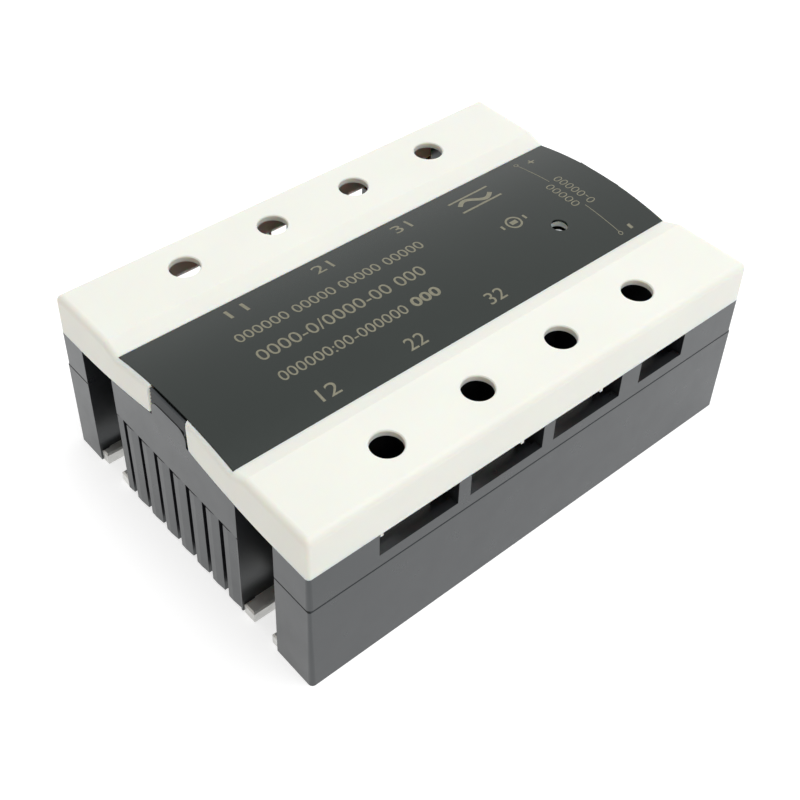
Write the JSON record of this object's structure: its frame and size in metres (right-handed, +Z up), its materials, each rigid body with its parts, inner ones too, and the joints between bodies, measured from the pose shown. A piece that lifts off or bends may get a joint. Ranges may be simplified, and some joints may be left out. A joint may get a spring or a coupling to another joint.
{
  "type": "solid state relay",
  "caption": "Panel-mount solid state relay block: black housing, ivory cover with a dark arched label, screw terminals in recessed wire entries and a metal base plate.",
  "frame": {"origin": "centre of the block's underside, on the plane it stands on", "axes": "+X along the length towards the control input end, +Y towards terminal row 1, +Z up through the cover"},
  "size_m": [0.1052, 0.074, 0.0376],
  "materials": {
    "base_metal": "milled aluminium plate, fine brushed",
    "black_housing": "semi-gloss moulded black plastic",
    "ivory_cover": "satin moulded ivory plastic",
    "dark_label": "smooth dark printed plate, gold-grey print",
    "zinc_steel": "zinc plated steel",
    "tinned_copper": "tin plated copper strip",
    "copper": "bare copper",
    "alumina": "white alumina ceramic",
    "silicon_chip": "passivated silicon",
    "clear_gel": "soft potting gel, slightly cloudy",
    "board_laminate": "green solder mask on glass laminate",
    "component_epoxy": "black moulding epoxy",
    "resistor_film": "tan lacquer",
    "resistor_cement": "grey-green coating",
    "capacitor_case": "red box capacitor case",
    "capacitor_sleeve": "dark sleeve",
    "varistor_disc": "blue epoxy coat",
    "white_nylon": "natural nylon",
    "lamp_epoxy": "water-clear epoxy lens"
  },
  "bodies": {
    "root": {"base_plate": "base_metal", "lower_housing": "black_housing", "upper_housing": "black_housing", "base_screws": "zinc_steel", "housing_screws": "zinc_steel", "ceramic_substrate_a": "alumina", "ceramic_substrate_b": "alumina", "ceramic_substrate_c": "alumina", "copper_pads": "copper", "thyristor_pair_a": "silicon_chip", "thyristor_pair_b": "silicon_chip", "thyristor_pair_c": "silicon_chip", "cathode_links": "copper", "gate_pins": "tinned_copper", "input_pins": "tinned_copper", "terminal_a1": "tinned_copper", "terminal_b1": "tinned_copper", "terminal_c1": "tinned_copper", "terminal_a2": "tinned_copper", "terminal_b2": "tinned_copper", "terminal_c2": "tinned_copper", "input_terminal_plus": "tinned_copper", "input_terminal_minus": "tinned_copper", "potting_gel": "clear_gel", "terminal_nuts": "zinc_steel", "control_board": "board_laminate", "optocoupler_a": "component_epoxy", "optocoupler_b": "component_epoxy", "optocoupler_c": "component_epoxy", "gate_resistors": "resistor_film", "snubber_resistors": "resistor_cement", "snubber_capacitors": "capacitor_case", "varistors": "varistor_disc", "input_diode": "component_epoxy", "input_capacitor": "capacitor_sleeve", "regulator_transistor": "component_epoxy", "lamp_spacer": "white_nylon", "indicator_lamp": "lamp_epoxy"},
    "cover": {"top_cover": "ivory_cover", "label_plate": "dark_label"},
    "clamp_a1": {"clamp_a1": "zinc_steel"},
    "screw_a1": {"screw_a1": "zinc_steel"},
    "clamp_b1": {"clamp_b1": "zinc_steel"},
    "screw_b1": {"screw_b1": "zinc_steel"},
    "clamp_c1": {"clamp_c1": "zinc_steel"},
    "screw_c1": {"screw_c1": "zinc_steel"},
    "clamp_plus": {"clamp_plus": "zinc_steel"},
    "screw_plus": {"screw_plus": "zinc_steel"},
    "clamp_a2": {"clamp_a2": "zinc_steel"},
    "screw_a2": {"screw_a2": "zinc_steel"},
    "clamp_b2": {"clamp_b2": "zinc_steel"},
    "screw_b2": {"screw_b2": "zinc_steel"},
    "clamp_c2": {"clamp_c2": "zinc_steel"},
    "screw_c2": {"screw_c2": "zinc_steel"},
    "clamp_minus": {"clamp_minus": "zinc_steel"},
    "screw_minus": {"screw_minus": "zinc_steel"}
  },
  "joints": [
    {"name": "cover_lift", "type": "slide", "parent": "root", "child": "cover", "axis": [0, 0, 1], "range_m": [0, 0.04]},
    {"name": "clamp_a1_lift", "type": "slide", "parent": "root", "child": "clamp_a1", "axis": [0, 0, 1], "range_m": [0, 0.004]},
    {"name": "screw_a1_turn", "type": "hinge", "parent": "clamp_a1", "child": "screw_a1", "pos_m": [-0.02977, 0.0284, 0.0245], "axis": [0, 0, 1], "range_deg": [0, 2057.2]},
    {"name": "clamp_b1_lift", "type": "slide", "parent": "root", "child": "clamp_b1", "axis": [0, 0, 1], "range_m": [0, 0.004]},
    {"name": "screw_b1_turn", "type": "hinge", "parent": "clamp_b1", "child": "screw_b1", "pos_m": [-0.00992, 0.0284, 0.0245], "axis": [0, 0, 1], "range_deg": [0, 2057.2]},
    {"name": "clamp_c1_lift", "type": "slide", "parent": "root", "child": "clamp_c1", "axis": [0, 0, 1], "range_m": [0, 0.004]},
    {"name": "screw_c1_turn", "type": "hinge", "parent": "clamp_c1", "child": "screw_c1", "pos_m": [0.00992, 0.0284, 0.0245], "axis": [0, 0, 1], "range_deg": [0, 2057.2]},
    {"name": "clamp_plus_lift", "type": "slide", "parent": "root", "child": "clamp_plus", "axis": [0, 0, 1], "range_m": [0, 0.004]},
    {"name": "screw_plus_turn", "type": "hinge", "parent": "clamp_plus", "child": "screw_plus", "pos_m": [0.02977, 0.0284, 0.0245], "axis": [0, 0, 1], "range_deg": [0, 2057.2]},
    {"name": "clamp_a2_lift", "type": "slide", "parent": "root", "child": "clamp_a2", "axis": [0, 0, 1], "range_m": [0, 0.004]},
    {"name": "screw_a2_turn", "type": "hinge", "parent": "clamp_a2", "child": "screw_a2", "pos_m": [-0.02977, -0.0284, 0.0245], "axis": [0, 0, 1], "range_deg": [0, 2057.2]},
    {"name": "clamp_b2_lift", "type": "slide", "parent": "root", "child": "clamp_b2", "axis": [0, 0, 1], "range_m": [0, 0.004]},
    {"name": "screw_b2_turn", "type": "hinge", "parent": "clamp_b2", "child": "screw_b2", "pos_m": [-0.00992, -0.0284, 0.0245], "axis": [0, 0, 1], "range_deg": [0, 2057.2]},
    {"name": "clamp_c2_lift", "type": "slide", "parent": "root", "child": "clamp_c2", "axis": [0, 0, 1], "range_m": [0, 0.004]},
    {"name": "screw_c2_turn", "type": "hinge", "parent": "clamp_c2", "child": "screw_c2", "pos_m": [0.00992, -0.0284, 0.0245], "axis": [0, 0, 1], "range_deg": [0, 2057.2]},
    {"name": "clamp_minus_lift", "type": "slide", "parent": "root", "child": "clamp_minus", "axis": [0, 0, 1], "range_m": [0, 0.004]},
    {"name": "screw_minus_turn", "type": "hinge", "parent": "clamp_minus", "child": "screw_minus", "pos_m": [0.02977, -0.0284, 0.0245], "axis": [0, 0, 1], "range_deg": [0, 2057.2]}
  ],
  "couplings": [
    {"joint": "screw_a1_turn", "follows": "clamp_a1_lift", "rad_per_m": 8976},
    {"joint": "screw_b1_turn", "follows": "clamp_b1_lift", "rad_per_m": 8976},
    {"joint": "screw_c1_turn", "follows": "clamp_c1_lift", "rad_per_m": 8976},
    {"joint": "screw_plus_turn", "follows": "clamp_plus_lift", "rad_per_m": 8976},
    {"joint": "screw_a2_turn", "follows": "clamp_a2_lift", "rad_per_m": 8976},
    {"joint": "screw_b2_turn", "follows": "clamp_b2_lift", "rad_per_m": 8976},
    {"joint": "screw_c2_turn", "follows": "clamp_c2_lift", "rad_per_m": 8976},
    {"joint": "screw_minus_turn", "follows": "clamp_minus_lift", "rad_per_m": 8976}
  ]
}
